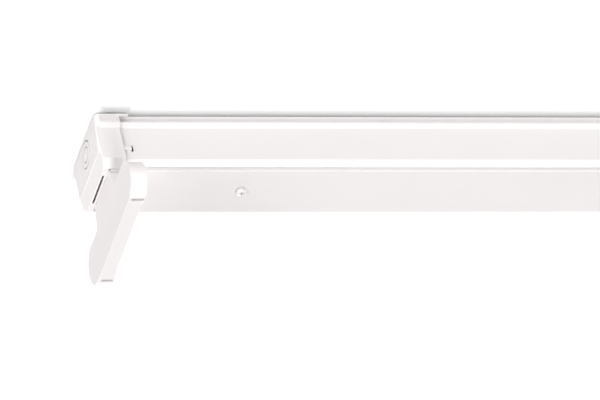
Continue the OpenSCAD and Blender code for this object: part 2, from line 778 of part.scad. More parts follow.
module ballast_nuts() {
    color([0.75, 0.76, 0.78])
    for (side = [-1, 1])
        translate([side * stud_x, 0, ballast_z + ballast_base_t])
            difference() {
                cylinder(d = 2 * stud_d, h = 0.8 * stud_d, $fn = 6);
                translate([0, 0, -overrun]) cylinder(r = stud_d / 2 + turn_gap, h = stud_d + 2 * overrun);
            }
}

terminal_x = -entry_x + 1.4 * terminal_l;
terminal_pitch = terminal_w / mains_poles;
clamp_l = terminal_l / 8;

// Puts something at the bottom of every wire entry of the mains terminal, pointing out of it
module at_terminal_entries() {
    for (i = [0:mains_poles - 1])
        for (end = [-1, 1])
            translate([terminal_x, pole_y(i, mains_poles, terminal_pitch), mains_entry_z])
                rotate([0, end * 90, 0])
                translate([0, 0, terminal_l / 4]) children();
}

module terminal_block() {
    color([0.95, 0.95, 0.93])
    difference() {
        union() {
            block([terminal_x - terminal_l / 2, -terminal_w / 2, ballast_z],
                [terminal_x + terminal_l / 2, terminal_w / 2, ballast_z + 0.7 * terminal_h]);
            block([terminal_x - terminal_l / 4, -terminal_w / 2, ballast_z + overrun],
                [terminal_x + terminal_l / 4, terminal_w / 2, ballast_z + terminal_h]);
        }
        at_terminal_entries() cylinder(d = 0.5 * terminal_pitch, h = terminal_l / 4 + overrun);
    }
}

// Clamp sleeves seated in the bottoms of the terminal's wire entries
module terminal_contacts() {
    color([0.85, 0.7, 0.4])
    at_terminal_entries()
        difference() {
            cylinder(r = terminal_pitch / 4 - turn_gap, h = clamp_l);
            translate([0, 0, contact_t]) cylinder(d = wire_d + contact_t, h = clamp_l);
        }
}

// A wire through a list of points, with a slightly fuller round elbow at each bend
elbow_d = 1.1 * wire_d;
module wire(points) {
    for (i = [0:len(points) - 2]) {
        step = points[i + 1] - points[i];
        translate(points[i])
            rotate([0, acos(step[2] / norm(step)), atan2(step[1], step[0])])
            cylinder(d = wire_d, h = norm(step), $fn = 24);
    }
    for (i = [1:1:len(points) - 2])
        translate(points[i]) sphere(d = elbow_d, $fn = 24);
}

// Wires lie in pairs beside the brackets, clear of their legs
wire_low_z = ballast_z + 0.6 * wire_d;
wire_y = bracket_leg_y + (wire_lane + slide_gap) / 2;
function wire_row(i) = (i < 2 ? -1 : 1) * (wire_y + (i % 2 == 0 ? -0.6 : 0.6) * wire_d);
wire_bend_x = case_l / 2 + lug_l + 3 * connector_l;
// Outer and inner wires of each pair change places on the way in, so none cross
lamp_pole_order = [1, 0, 2, 3];

module lamp_wires(right = false) {
    color([0.97, 0.97, 0.97])
    mirror([right ? 1 : 0, 0, 0])
    for (i = [0:lamp_poles - 1])
        let (
            row_y = wire_row(i),
            bend_x = -wire_bend_x + (i % 2) * 2 * wire_d,
            entry_y = pole_y(lamp_pole_order[i], lamp_poles, wire_pitch)
        )
        wire([
            [-holder_x + shell_l, row_y, wire_low_z],
            [bend_x, row_y, wire_low_z],
            [bend_x + connector_l, entry_y, lamp_entry_z],
            [-case_l / 2 + connector_l / 2, entry_y, lamp_entry_z]
        ]);
}

// Straight stiff wires from the mains terminal to the ballast's first connector
module wires_mains() {
    color([0.45, 0.5, 0.75])
    for (i = [0:mains_poles - 1])
        let (y = pole_y(i, mains_poles, terminal_pitch))
        wire([
            [terminal_x + terminal_l / 4 + contact_t, y, mains_entry_z],
            [-case_l / 2 + connector_l / 2, y, mains_entry_z]
        ]);
}

// Saddle clips that hold the wire pairs down on the tray
clip_l = 6;
clip_shares = [0.55, 0.85];
module wire_clips() {
    color([0.94, 0.94, 0.93])
    for (end = [-1, 1])
        for (share = clip_shares)
            for (side = [-1, 1])
                translate([end * share * (holder_x - screw_from_end), side * wire_y, ballast_z])
                    difference() {
                        block([-clip_l / 2, -1.6 * wire_d, 0], [clip_l / 2, 1.6 * wire_d, 2.4 * wire_d]);
                        block([-clip_l, -1.15 * wire_d, -overrun], [clip_l, 1.15 * wire_d, 1.9 * wire_d]);
                    }
}

spine();
screw_bracket();  // screw_bracket_left
screw_bracket(true);  // screw_bracket_right
cable_grommet();
blanking_plug();
earth_screw();
gear_tray();
ballast_base();
ballast_board();
ballast_cover();
ballast_connector();  // ballast_connector_left
ballast_connector(true);  // ballast_connector_right
ballast_nuts();
terminal_block();
terminal_contacts();
lamp_wires();  // wires_left
lamp_wires(true);  // wires_right
wires_mains();
wire_clips();
lampholder_shell();  // lampholder_shell_left
lampholder_shell(true);  // lampholder_shell_right
lampholder_cover();  // lampholder_cover_left
lampholder_cover(true);  // lampholder_cover_right
contact_springs();  // contact_springs_left
contact_springs(true);  // contact_springs_right
rotor(-1);  // rotor_left_near
rotor(1);  // rotor_left_far
rotor(-1, true);  // rotor_right_near
rotor(1, true);  // rotor_right_far
cover_screw();  // cover_screw_left
cover_screw(true);  // cover_screw_right
end_cap();  // end_cap_left
end_cap(true);  // end_cap_right
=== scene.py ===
"""Dresses a packed twin-lamp batten light, hung by its ceiling face, and sets up its studio.

Lengths are in metres in the batten's own frame: x along it, y across it, z up with zero at the ceiling.
"""

import logging
import math
from dataclasses import dataclass
from enum import Enum
from typing import Callable, Iterable, Optional, Union

import bmesh
import bpy
from mathutils import Matrix, Vector


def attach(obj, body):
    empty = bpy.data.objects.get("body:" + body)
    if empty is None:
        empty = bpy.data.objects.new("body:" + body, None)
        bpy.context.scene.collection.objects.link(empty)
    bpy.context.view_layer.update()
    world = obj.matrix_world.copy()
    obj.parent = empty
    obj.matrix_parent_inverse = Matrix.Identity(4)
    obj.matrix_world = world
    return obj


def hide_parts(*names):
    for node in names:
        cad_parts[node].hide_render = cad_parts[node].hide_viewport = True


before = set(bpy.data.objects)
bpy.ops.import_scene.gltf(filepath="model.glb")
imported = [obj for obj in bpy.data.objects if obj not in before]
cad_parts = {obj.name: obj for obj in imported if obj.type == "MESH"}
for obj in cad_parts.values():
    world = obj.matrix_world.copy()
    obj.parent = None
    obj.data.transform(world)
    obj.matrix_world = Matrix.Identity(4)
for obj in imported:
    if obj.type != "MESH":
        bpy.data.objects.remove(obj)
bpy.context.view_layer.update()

log = logging.getLogger("batten")

Colour = tuple[float, float, float]
Triple = tuple[float, float, float]
Pairs = tuple[tuple[float, float], ...]
Mesh = bmesh.types.BMesh
Material = bpy.types.Material
Piece = bpy.types.Object
Node = bpy.types.Node
Socket = bpy.types.NodeSocket
Inputs = dict[Union[str, int], object]
EdgeTest = Callable[[Vector], bool]


class End(Enum):
    """The two ends of the batten."""

    LEFT = "left"
    RIGHT = "right"

    @property
    def sign(self) -> int:
        """Direction of this end along x."""
        return -1 if self is End.LEFT else 1


class Side(Enum):
    """The two lamp sides of the batten."""

    NEAR = "near"
    FAR = "far"

    @property
    def sign(self) -> int:
        """Direction of this side along y."""
        return -1 if self is Side.NEAR else 1


class NodeSheet:
    """A material's node tree with short calls for the nodes that the finishes use."""

    noise_span: tuple[float, float] = (0.3, 0.7)
    fade_span: tuple[float, float] = (0.35, 0.65)
    edge_span: tuple[float, float] = (0.995, 0.85)
    edge_samples: int = 4
    wear_patches: float = 320

    def __init__(self, name: str) -> None:
        """Starts a material that holds the usual surface.

        Args:
            name: The material's name.
        """
        self.material = bpy.data.materials.new(name)
        self.material.use_nodes = True
        self.tree = self.material.node_tree
        self.surface = self.tree.nodes["Principled BSDF"]
        self.where = self.add("TexCoord").outputs["Object"]

    def feed(self, node: Node, values: Inputs) -> None:
        """Links or sets inputs of a node.

        Args:
            node: The node.
            values: A socket or a plain value for each input, by the input's name or number.
        """
        for key, value in values.items():
            if isinstance(value, Socket):
                self.tree.links.new(value, node.inputs[key])
            else:
                node.inputs[key].default_value = value

    def add(self, kind: str, values: Optional[Inputs] = None) -> Node:
        """Adds a node.

        Args:
            kind: The node's type, without the words that every shader node's type starts with.
            values: Its inputs, as for feed.

        Returns:
            The node.
        """
        node = self.tree.nodes.new(f"ShaderNode{kind}")
        self.feed(node, values or {})
        return node

    def stretched(self, scale: Triple) -> Socket:
        """Object coordinates stretched by a scale for each axis."""
        return self.add("Mapping", {"Scale": scale, "Vector": self.where}).outputs["Vector"]

    def noise(self, scale: float, detail: float = 2.0, where: Optional[Socket] = None) -> Socket:
        """A noise pattern.

        Args:
            scale: Repeats to the metre.
            detail: Octaves of the noise.
            where: The coordinates, or none for the object's own.

        Returns:
            The noise value.
        """
        node = self.add("TexNoise", {"Scale": scale, "Detail": detail, "Vector": where or self.where})
        return node.outputs["Fac"]

    def cells(self, scale: float) -> Socket:
        """The distance to the nearest of many small cells, with their number to the metre."""
        return self.add("TexVoronoi", {"Scale": scale, "Vector": self.where}).outputs["Distance"]

    def spread(self, value: Socket, low: float, high: float) -> Socket:
        """Maps the middle of a noise value to a range.

        Args:
            value: The noise.
            low: Result at the noise's low side.
            high: Result at its high side.

        Returns:
            The mapped value.
        """
        start, stop = self.noise_span
        ends = {"From Min": start, "From Max": stop, "To Min": low, "To Max": high}
        return self.add("MapRange", {**ends, "Value": value}).outputs["Result"]

    def rise(self, value: Socket, start: float, stop: float, top: float) -> Socket:
        """A smooth rise from zero.

        Args:
            value: What drives the rise.
            start: Value at which it starts.
            stop: Value at which it is complete.
            top: Its height.

        Returns:
            The risen value.
        """
        node = self.add("MapRange", {"From Min": start, "From Max": stop, "To Max": top, "Value": value})
        node.interpolation_type = "SMOOTHSTEP"
        return node.outputs["Result"]

    def math(self, kind: str, first: Socket, second: Union[Socket, float] = 0.0) -> Socket:
        """One step of arithmetic.

        Args:
            kind: The operation.
            first: Its first input.
            second: Its second input.

        Returns:
            The result.
        """
        node = self.add("Math", {0: first, 1: second})
        node.operation = kind
        return node.outputs[0]

    def edges(self, reach: float) -> Socket:
        """A mask of the edges, from how far the surface turns within a reach.

        Args:
            reach: Distance from the edge that still counts, in metres.

        Returns:
            The mask, one on the edges and zero on flat ground.
        """
        bevel = self.add("Bevel", {"Radius": reach})
        bevel.samples = self.edge_samples
        own = self.add("NewGeometry").outputs["Normal"]
        dot = self.add("VectorMath", {0: bevel.outputs["Normal"], 1: own})
        dot.operation = "DOT_PRODUCT"
        start, stop = self.edge_span
        mask = self.add("MapRange", {"From Min": start, "From Max": stop, "Value": dot.outputs["Value"]})
        return mask.outputs["Result"]

    def worn(self, colour: Socket, rubbed: Colour, reach: float, amount: float) -> Socket:
        """A colour that is rubbed in patches along the edges.

        Args:
            colour: The unworn colour.
            rubbed: Colour of the worn edges.
            reach: Width of the wear, in metres.
            amount: Greatest share of the rubbed colour.

        Returns:
            The worn colour.
        """
        patches = self.spread(self.noise(self.wear_patches, 3), 0.0, amount)
        share = self.math("MULTIPLY", self.edges(reach), patches)
        mix = self.add("Mix")
        mix.data_type = "RGBA"
        self.feed(mix, {0: share, 6: colour, 7: (*rubbed, 1)})
        return mix.outputs[2]

    def between(self, value: Socket, first: Colour, second: Colour) -> Socket:
        """Fades from one colour to another.

        Args:
            value: The noise that drives the fade.
            first: Colour at the low side.
            second: Colour at the high side.

        Returns:
            The mixed colour.
        """
        node = self.add("ValToRGB", {"Fac": value})
        for stop, place, colour in zip(node.color_ramp.elements, self.fade_span, (first, second)):
            stop.position = place
            stop.color = (*colour, 1)
        return node.outputs["Color"]

    def raised(self, value: Socket, depth: float, share: float) -> None:
        """Bumps the surface by a pattern.

        Args:
            value: The pattern.
            depth: Height of the pattern, in metres.
            share: Share of the bump that is used.
        """
        bump = self.add("Bump", {"Distance": depth, "Strength": share, "Height": value})
        self.dress({"Normal": bump.outputs["Normal"]})

    def dress(self, values: Inputs) -> None:
        """Links or sets inputs of the surface."""
        self.feed(self.surface, values)


@dataclass(frozen=True)
class PowderCoat:
    """Sprayed and baked white paint with a fine orange peel, rubbed at its edges."""

    name: str
    colour: Colour
    shade: Colour
    roughness: float = 0.42
    swing: float = 0.04
    rubbed: Colour = (0.7, 0.69, 0.68)
    wear: float = 0.16
    wear_reach: float = 0.0004
    clouds: float = 14
    sheen: float = 160
    peel: float = 1100
    peel_depth: float = 0.00004
    peel_share: float = 0.3

    def build(self) -> Material:
        """Makes the material.

        Returns:
            The material.
        """
        sheet = NodeSheet(self.name)
        paint = sheet.between(sheet.noise(self.clouds, 3), self.shade, self.colour)
        rough = sheet.spread(sheet.noise(self.sheen, 3), self.roughness - self.swing, self.roughness + self.swing)
        sheet.dress({"Base Color": sheet.worn(paint, self.rubbed, self.wear_reach, self.wear), "Roughness": rough})
        sheet.raised(sheet.noise(self.peel, 2), self.peel_depth, self.peel_share)
        return sheet.material


@dataclass(frozen=True)
class MouldedPlastic:
    """Moulded plastic with a spark-eroded grain."""

    name: str
    colour: Colour
    shade: Colour
    roughness: float = 0.38
    swing: float = 0.05
    clouds: float = 30
    sheen: float = 420
    grain: float = 2600
    grain_depth: float = 0.00003
    grain_share: float = 0.22

    def build(self) -> Material:
        """Makes the material.

        Returns:
            The material.
        """
        sheet = NodeSheet(self.name)
        base = sheet.between(sheet.noise(self.clouds, 2), self.shade, self.colour)
        rough = sheet.spread(sheet.noise(self.sheen, 3), self.roughness - self.swing, self.roughness + self.swing)
        sheet.dress({"Base Color": base, "Roughness": rough})
        sheet.raised(sheet.cells(self.grain), self.grain_depth, self.grain_share)
        return sheet.material


@dataclass(frozen=True)
class BareMetal:
    """Plated or bare metal with drawn streaks and cloudy patches."""

    name: str
    colour: Colour
    shade: Colour
    smoothest: float = 0.26
    roughest: float = 0.48
    streaks: Triple = (60, 1800, 1800)
    streak_depth: float = 0.00002
    streak_share: float = 0.25
    clouds: float = 240
    rubbed: Colour = (0.82, 0.82, 0.82)
    wear: float = 0.7
    wear_reach: float = 0.0005

    def build(self) -> Material:
        """Makes the material.

        Returns:
            The material.
        """
        sheet = NodeSheet(self.name)
        plate = sheet.between(sheet.noise(self.clouds, 4), self.shade, self.colour)
        drawn = sheet.noise(1, 3, sheet.stretched(self.streaks))
        rough = sheet.spread(drawn, self.smoothest, self.roughest)
        worn = sheet.worn(plate, self.rubbed, self.wear_reach, self.wear)
        sheet.dress({"Base Color": worn, "Roughness": rough, "Metallic": 1.0})
        sheet.raised(drawn, self.streak_depth, self.streak_share)
        return sheet.material


@dataclass(frozen=True)
class SoftRubber:
    """Moulded rubber, dull and slightly dusty."""

    name: str
    colour: Colour
    dust: Colour
    clouds: float = 90
    sheen: float = 500
    grain: float = 1500
    grain_depth: float = 0.00006
    grain_share: float = 0.4

    def build(self) -> Material:
        """Makes the material.

        Returns:
            The material.
        """
        sheet = NodeSheet(self.name)
        base = sheet.between(sheet.noise(self.clouds, 4), self.colour, self.dust)
        sheet.dress({"Base Color": base, "Roughness": sheet.spread(sheet.noise(self.sheen, 2), 0.7, 0.9)})
        sheet.raised(sheet.noise(self.grain, 2), self.grain_depth, self.grain_share)
        return sheet.material


@dataclass(frozen=True)
class WireSheath:
    """Extruded sheath of a wire, smooth with faint lengthwise lines."""

    name: str
    colour: Colour
    shade: Colour
    streaks: Triple = (40, 2600, 2600)
    streak_depth: float = 0.00002
    streak_share: float = 0.2
    sheen: float = 300

    def build(self) -> Material:
        """Makes the material.

        Returns:
            The material.
        """
        sheet = NodeSheet(self.name)
        lines = sheet.noise(1, 2, sheet.stretched(self.streaks))
        rough = sheet.spread(sheet.noise(self.sheen, 2), 0.24, 0.36)
        sheet.dress({"Base Color": sheet.between(lines, self.shade, self.colour), "Roughness": rough})
        sheet.raised(lines, self.streak_depth, self.streak_share)
        return sheet.material


@dataclass(frozen=True)
class BoardLacquer:
    """Lacquered circuit board with faint tracks under the lacquer."""

    name: str
    colour: Colour
    track: Colour
    tracks: Triple = (120, 420, 420)
    sheen: float = 600
    weave: float = 800
    weave_depth: float = 0.00005
    weave_share: float = 0.3

    def build(self) -> Material:
        """Makes the material.

        Returns:
            The material.
        """
        sheet = NodeSheet(self.name)
        base = sheet.between(sheet.noise(1, 1, sheet.stretched(self.tracks)), self.colour, self.track)
        sheet.dress({"Base Color": base, "Roughness": sheet.spread(sheet.noise(self.sheen, 2), 0.3, 0.5)})
        sheet.raised(sheet.noise(self.weave, 2), self.weave_depth, self.weave_share)
        return sheet.material


@dataclass(frozen=True)
class Coat:
    """A finish with the name of the material slot that it stands for."""

    material: Material
    slot: str


class Finishes:
    """Every finish on the batten, each made once."""

    def __init__(self) -> None:
        """Builds the materials."""
        steel = PowderCoat("white_powder_coat", (0.84, 0.809, 0.809), (0.827, 0.795, 0.795))
        plastic = MouldedPlastic("white_polycarbonate", (0.885, 0.85, 0.845), (0.872, 0.835, 0.83))
        rotor = MouldedPlastic("rotor_plastic", (0.84, 0.83, 0.82), (0.82, 0.81, 0.8), 0.32)
        screw = PowderCoat("screw_paint", (0.84, 0.83, 0.83), (0.8, 0.79, 0.79), 0.3)
        zinc = BareMetal("zinc_plate", (0.66, 0.67, 0.69), (0.56, 0.58, 0.6))
        brass = BareMetal("contact_brass", (0.76, 0.58, 0.28), (0.62, 0.45, 0.2), 0.2, 0.42)
        cover = PowderCoat("ballast_paint", (0.78, 0.78, 0.79), (0.74, 0.74, 0.75), 0.45)
        cream = MouldedPlastic("cream_nylon", (0.8, 0.77, 0.68), (0.76, 0.73, 0.64), 0.45)
        grey = MouldedPlastic("grey_nylon", (0.62, 0.62, 0.62), (0.58, 0.58, 0.58), 0.5)
        rubber = SoftRubber("black_rubber", (0.018, 0.018, 0.02), (0.05, 0.048, 0.045))
        white_wire = WireSheath("white_sheath", (0.8, 0.8, 0.79), (0.74, 0.74, 0.73))
        blue_wire = WireSheath("blue_sheath", (0.05, 0.12, 0.42), (0.04, 0.09, 0.34))
        board = BoardLacquer("board_lacquer", (0.05, 0.2, 0.09), (0.12, 0.34, 0.14))
        self.steel = Coat(steel.build(), "white_steel")
        self.plastic = Coat(plastic.build(), "white_plastic")
        self.rotor = Coat(rotor.build(), "rotor_plastic")
        self.screw = Coat(screw.build(), "white_screw")
        self.zinc = Coat(zinc.build(), "zinc_steel")
        self.brass = Coat(brass.build(), "brass_parts")
        self.cover = Coat(cover.build(), "ballast_paint")
        self.cream = Coat(cream.build(), "cream_plastic")
        self.grey = Coat(grey.build(), "grey_plastic")
        self.rubber = Coat(rubber.build(), "black_rubber")
        self.white_wire = Coat(white_wire.build(), "white_sheath")
        self.blue_wire = Coat(blue_wire.build(), "blue_sheath")
        self.board = Coat(board.build(), "circuit_board")


class Workshop:
    """Mesh operations shared by the sub-assemblies, all working on meshes in the batten's frame."""

    sharp: float = math.radians(24)
    smooth: float = math.radians(35)
    flat: float = math.radians(0.6)
    weld: float = 2e-6
    point: float = 1e-7
    bend_share: float = 0.45

    @classmethod
    def opened(cls, obj: Piece) -> Mesh:
        """An editable copy of a piece's mesh.

        Args:
            obj: The piece.

        Returns:
            The copy, with vertices in one place merged.
        """
        bm = bmesh.new()
        bm.from_mesh(obj.data)
        bmesh.ops.remove_doubles(bm, verts=bm.verts, dist=cls.weld)
        return bm

    @classmethod
    def merge_flat(cls, bm: Mesh) -> None:
        """Merges the faces of a mesh that lie flat together."""
        bmesh.ops.dissolve_limit(bm, angle_limit=cls.flat, verts=bm.verts, edges=bm.edges)

    @classmethod
    def mesh_of(cls, node: str) -> Mesh:
        """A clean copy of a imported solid's mesh, with flat faces merged.

        Args:
            node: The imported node.

        Returns:
            The editable copy.
        """
        bm = cls.opened(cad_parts[node])
        cls.merge_flat(bm)
        return bm

    @classmethod
    def round_edges(cls, bm: Mesh, width: float, wanted: Optional[EdgeTest] = None, steps: int = 2) -> None:
        """Rounds the sharp edges of a mesh.

        Args:
            bm: The mesh to change.
            width: How far the rounding reaches from each edge.
            wanted: Test of an edge's middle point, or none for every sharp edge.
            steps: Facets of each rounding.
        """
        edges = [
            e
            for e in bm.edges
            if len(e.link_faces) == 2
            and e.calc_face_angle(0.0) > cls.sharp
            and (wanted is None or wanted((e.verts[0].co + e.verts[1].co) / 2))
        ]
        if edges:
            bmesh.ops.bevel(
                bm,
                geom=edges,
                offset=width,
                offset_type="OFFSET",
                segments=steps,
                profile=0.5,
                affect="EDGES",
                clamp_overlap=True,
            )

    @staticmethod
    def box(low: Vector, high: Vector) -> Mesh:
        """A closed block.

        Args:
            low: Its corner with the lowest values.
            high: The opposite corner.

        Returns:
            The mesh.
        """
        bm = bmesh.new()
        bmesh.ops.create_cube(bm, size=1.0)
        bmesh.ops.transform(bm, matrix=Matrix.Diagonal((*(high - low), 1)), verts=bm.verts)
        bmesh.ops.translate(bm, vec=(low + high) / 2, verts=bm.verts)
        return bm

    @classmethod
    def turned(cls, profile: Iterable[tuple[float, float]], steps: int = 64) -> Mesh:
        """A solid of revolution about z.

        Args:
            profile: Pairs of radius and height, from one end of the axis to the other.
            steps: Facets round the axis.

        Returns:
            The closed mesh.
        """
        bm = bmesh.new()
        turn = [2 * math.pi * i / steps for i in range(steps)]
        rings = []
        for radius, height in profile:
            if radius < cls.point:
                rings.append([bm.verts.new((0, 0, height))])
            else:
                rings.append([bm.verts.new((radius * math.cos(a), radius * math.sin(a), height)) for a in turn])
        for low, high in zip(rings, rings[1:]):
            for i in range(steps):
                k = i + 1
                corners = [low[i % len(low)], low[k % len(low)], high[k % len(high)], high[i % len(high)]]
                kept = list(dict.fromkeys(corners))
                if len(kept) > 2:
                    bm.faces.new(kept)
        bmesh.ops.recalc_face_normals(bm, faces=bm.faces)
        return bm

    @classmethod
    def ring(cls, inner: float, outer: float, low: float, high: float) -> Mesh:
        """A closed ring about z.

        Args:
            inner: Inner radius.
            outer: Outer radius.
            low: Height of its lower face.
            high: Height of its upper face.

        Returns:
            The closed mesh.
        """
        bm = cls.turned([(inner, low), (outer, low), (outer, high), (inner, high), (inner, low)])
        bmesh.ops.remove_doubles(bm, verts=bm.verts, dist=cls.point)
        bmesh.ops.recalc_face_normals(bm, faces=bm.faces)
        return bm

    @staticmethod
    def skin(bm: Mesh, rings: list[list[bmesh.types.BMVert]]) -> None:
        """Joins rings of vertices into a closed skin.

        Args:
            bm: The mesh that holds them.
            rings: The rings in order, alike in number of vertices.
        """
        for low, high in zip(rings, rings[1:]):
            for i, corner in enumerate(low):
                k = (i + 1) % len(low)
                bm.faces.new((corner, low[k], high[k], high[i]))
        bm.faces.new(rings[0][::-1])
        bm.faces.new(rings[-1])

    @classmethod
    def bent(cls, points: list[Vector], reach: float, steps: int = 8) -> list[Vector]:
        """A path whose corners are drawn as smooth bends.

        Args:
            points: The corners.
            reach: How far each bend starts before its corner.
            steps: Pieces of each bend.

        Returns:
            The bent path.
        """
        path = [points[0]]
        for before, corner, after in zip(points, points[1:], points[2:]):
            used = min(reach, cls.bend_share * (corner - before).length, cls.bend_share * (after - corner).length)
            start = corner + (before - corner).normalized() * used
            stop = corner + (after - corner).normalized() * used
            for k in range(steps + 1):
                u = k / steps
                path.append(start * (1 - u) ** 2 + corner * 2 * u * (1 - u) + stop * u ** 2)
        return [*path, points[-1]]

    @classmethod
    def tube(cls, bm: Mesh, path: list[Vector], radius: float, around: int = 16) -> None:
        """Adds a round bar along a path to a mesh.

        Args:
            bm: The mesh that receives it.
            path: Its middle line.
            radius: Its radius.
            around: Facets round it.
        """
        side = Vector((0, 0, 1))
        turn = [2 * math.pi * k / around for k in range(around)]
        rings = []
        for i, place in enumerate(path):
            ahead = (path[min(i + 1, len(path) - 1)] - path[max(i - 1, 0)]).normalized()
            side = (side - side.dot(ahead) * ahead).normalized()
            other = ahead.cross(side)
            rings.append([bm.verts.new(place + (side * math.cos(a) + other * math.sin(a)) * radius) for a in turn])
        cls.skin(bm, rings)

    @staticmethod
    def placed(bm: Mesh, part: Mesh, place: Matrix) -> None:
        """Adds a moved copy of one mesh to another.

        Args:
            bm: The mesh that receives it.
            part: The mesh to copy.
            place: The move.
        """
        mesh = bpy.data.meshes.new("part")
        part.to_mesh(mesh)
        mesh.transform(place)
        bm.from_mesh(mesh)
        bpy.data.meshes.remove(mesh)

    @classmethod
    def cut(cls, obj: Piece, tools: Iterable[Mesh], operation: str = "DIFFERENCE") -> None:
        """Takes each tool's volume out of a piece's mesh, or adds it.

        Args:
            obj: The piece to cut.
            tools: Closed meshes in the same frame, which are used up.
            operation: Name of another Boolean operation, such as a union.
        """
        for bm in tools:
            tool = cls.object_of("tool", bm)
            change = obj.modifiers.new("cut", "BOOLEAN")
            change.operation, change.solver, change.object = operation, "EXACT", tool
            graph = bpy.context.evaluated_depsgraph_get()
            result = bpy.data.meshes.new_from_object(obj.evaluated_get(graph))
            obj.modifiers.remove(change)
            obj.data = result
            mesh = tool.data
            bpy.data.objects.remove(tool)
            bpy.data.meshes.remove(mesh)

    @staticmethod
    def object_of(name: str, bm: Mesh) -> Piece:
        """Turns a mesh into a piece in the scene.

        Args:
            name: The piece's name.
            bm: The mesh, which is used up.

        Returns:
            The piece.
        """
        mesh = bpy.data.meshes.new(name)
        bm.to_mesh(mesh)
        bm.free()
        obj = bpy.data.objects.new(name, mesh)
        bpy.context.scene.collection.objects.link(obj)
        return obj

    @classmethod
    def finish(cls, obj: Piece, body: str, coat: Coat, *stands_for: str) -> None:
        """Shades a piece, gives it its finish and sets it riding on its body.

        Args:
            obj: The piece.
            body: The body that it rides on.
            coat: Its finish.
            stands_for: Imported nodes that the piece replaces.
        """
        mesh = obj.data
        mesh.materials.clear()
        mesh.materials.append(coat.material)
        mesh.shade_smooth()
        mesh.set_sharp_from_angle(angle=cls.smooth)
        weight = obj.modifiers.new("weights", "WEIGHTED_NORMAL")
        weight.keep_sharp = True
        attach(obj, body)
        if stands_for:
            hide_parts(*stands_for)
        log.info("%s: %d faces on body %s", obj.name, len(mesh.polygons), body)

    @staticmethod
    def paint_node(node: str, coat: Coat) -> None:
        """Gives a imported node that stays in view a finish.

        Args:
            node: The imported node.
            coat: Its finish.
        """
        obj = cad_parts[node]
        if not obj.data.materials:
            obj.data.materials.append(coat.material)
        for place in obj.material_slots:
            place.link = "OBJECT"
            place.material = coat.material
        log.info("%s: packed node kept", node)

    @classmethod
    def rounded_node(cls, node: str, piece: str, body: str, coat: Coat, width: float) -> None:
        """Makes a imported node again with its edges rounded.

        Args:
            node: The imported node.
            piece: The new piece's name.
            body: The body that it rides on.
            coat: Its finish.
            width: Reach of the rounding.
        """
        bm = cls.mesh_of(node)
        cls.round_edges(bm, width)
        cls.finish(cls.object_of(piece, bm), body, coat, node)


